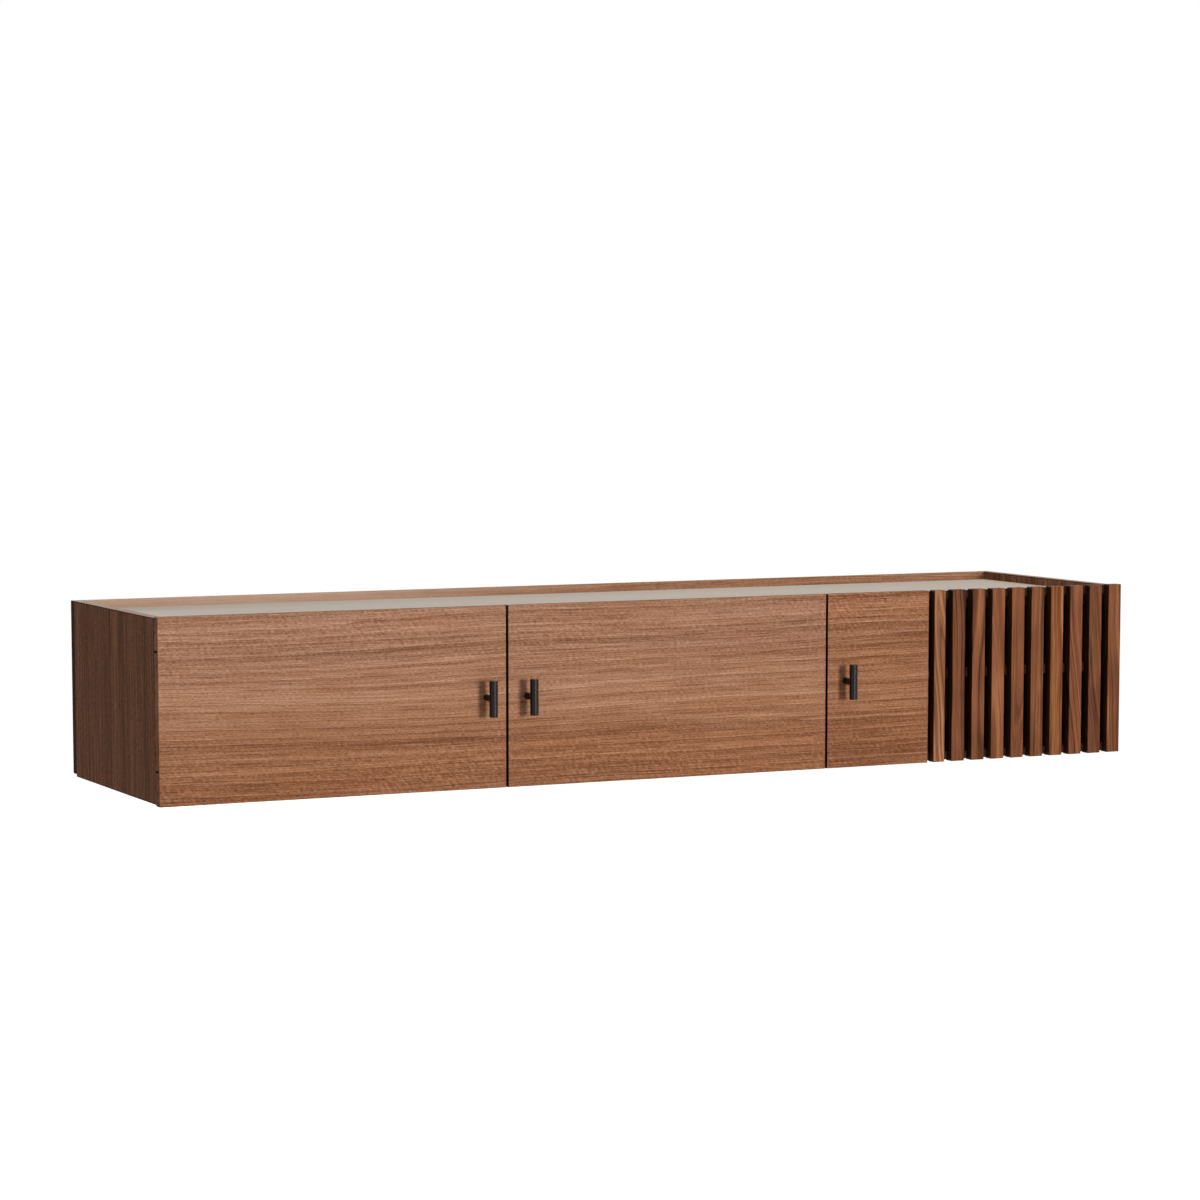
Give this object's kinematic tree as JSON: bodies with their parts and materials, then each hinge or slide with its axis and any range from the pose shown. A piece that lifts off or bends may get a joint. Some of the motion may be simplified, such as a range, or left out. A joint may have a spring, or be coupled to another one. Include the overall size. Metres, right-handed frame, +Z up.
{
  "type": "floating sideboard",
  "caption": "Wall-hung walnut sideboard with a tray top, plain hinged doors, one door that turns into open upright slats, and short dark T-bar handles.",
  "frame": {"origin": "on the wall face, at the centre of the rectangle of four wall screws", "axes": "+X along the width, to the right as one faces the doors; +Y from the doors to the wall; +Z up"},
  "size_m": [1.8, 0.485, 0.3],
  "materials": {
    "walnut_veneer": "satin lacquered walnut with the grain along the doors",
    "walnut_side": "satin lacquered walnut with upright grain",
    "deck_lacquer": "pale taupe lacquer, matt, with a faint grain along the width",
    "walnut_solid": "oiled solid walnut with upright grain",
    "inner_board": "dark stained board, matt",
    "handle_metal": "satin dark bronze",
    "steel": "zinc plated",
    "hinge_steel": "dark bronzed",
    "catch_plastic": "moulded, matt",
    "bumper_gel": "soft clear-grey gel",
    "beech": "raw fluted dowel"
  },
  "bodies": {
    "carcass": {"side_panel_left": "walnut_side", "side_panel_right": "walnut_side", "top_panel": "deck_lacquer", "back_board": "walnut_veneer", "bottom_panel": "inner_board", "partition_left": "inner_board", "partition_right": "inner_board", "shelf_left": "inner_board", "shelf_middle": "inner_board", "shelf_right": "inner_board", "dowels": "beech", "cam_locks": "steel", "cam_bolts": "steel", "back_screws": "steel", "shelf_pins": "steel", "hinge_screws": "steel", "wall_plates": "steel", "wall_plate_screws": "steel", "magnetic_catches": "catch_plastic", "hinge_left_upper": "hinge_steel", "hinge_left_lower": "hinge_steel", "hinge_middle_upper": "hinge_steel", "hinge_middle_lower": "hinge_steel", "hinge_right_upper": "hinge_steel", "hinge_right_lower": "hinge_steel"},
    "door_left": {"door_left_panel": "walnut_veneer", "hinge_pins_left": "hinge_steel", "handle_bar_left": "handle_metal", "handle_stem_left": "handle_metal", "handle_screw_left": "steel", "strike_plate_left": "steel", "bumpers_left": "bumper_gel"},
    "door_middle": {"door_middle_panel": "walnut_veneer", "hinge_pins_middle": "hinge_steel", "handle_bar_middle": "handle_metal", "handle_stem_middle": "handle_metal", "handle_screw_middle": "steel", "strike_plate_middle": "steel", "bumpers_middle": "bumper_gel"},
    "door_right": {"slat_screws": "steel", "door_right_leaf": "walnut_veneer", "slat_rail_lower": "walnut_solid", "slat_rail_upper": "walnut_solid", "slat_01": "walnut_solid", "slat_02": "walnut_solid", "slat_03": "walnut_solid", "slat_04": "walnut_solid", "slat_05": "walnut_solid", "slat_06": "walnut_solid", "slat_07": "walnut_solid", "slat_08": "walnut_solid", "slat_09": "walnut_solid", "slat_10": "walnut_solid", "hinge_pins_right": "hinge_steel", "handle_bar_right": "handle_metal", "handle_stem_right": "handle_metal", "handle_screw_right": "steel", "strike_plate_right": "steel", "bumpers_right": "bumper_gel"}
  },
  "joints": [
    {"name": "door_left_hinge", "type": "hinge", "parent": "carcass", "child": "door_left", "pos_m": [-0.8935, -0.444, 0], "axis": [0, 0, -1], "range_deg": [0, 95]},
    {"name": "door_middle_hinge", "type": "hinge", "parent": "carcass", "child": "door_middle", "pos_m": [0.2925, -0.444, 0], "axis": [0, 0, 1], "range_deg": [0, 95]},
    {"name": "door_right_hinge", "type": "hinge", "parent": "carcass", "child": "door_right", "pos_m": [0.8935, -0.444, 0], "axis": [0, 0, 1], "range_deg": [0, 95]}
  ]
}
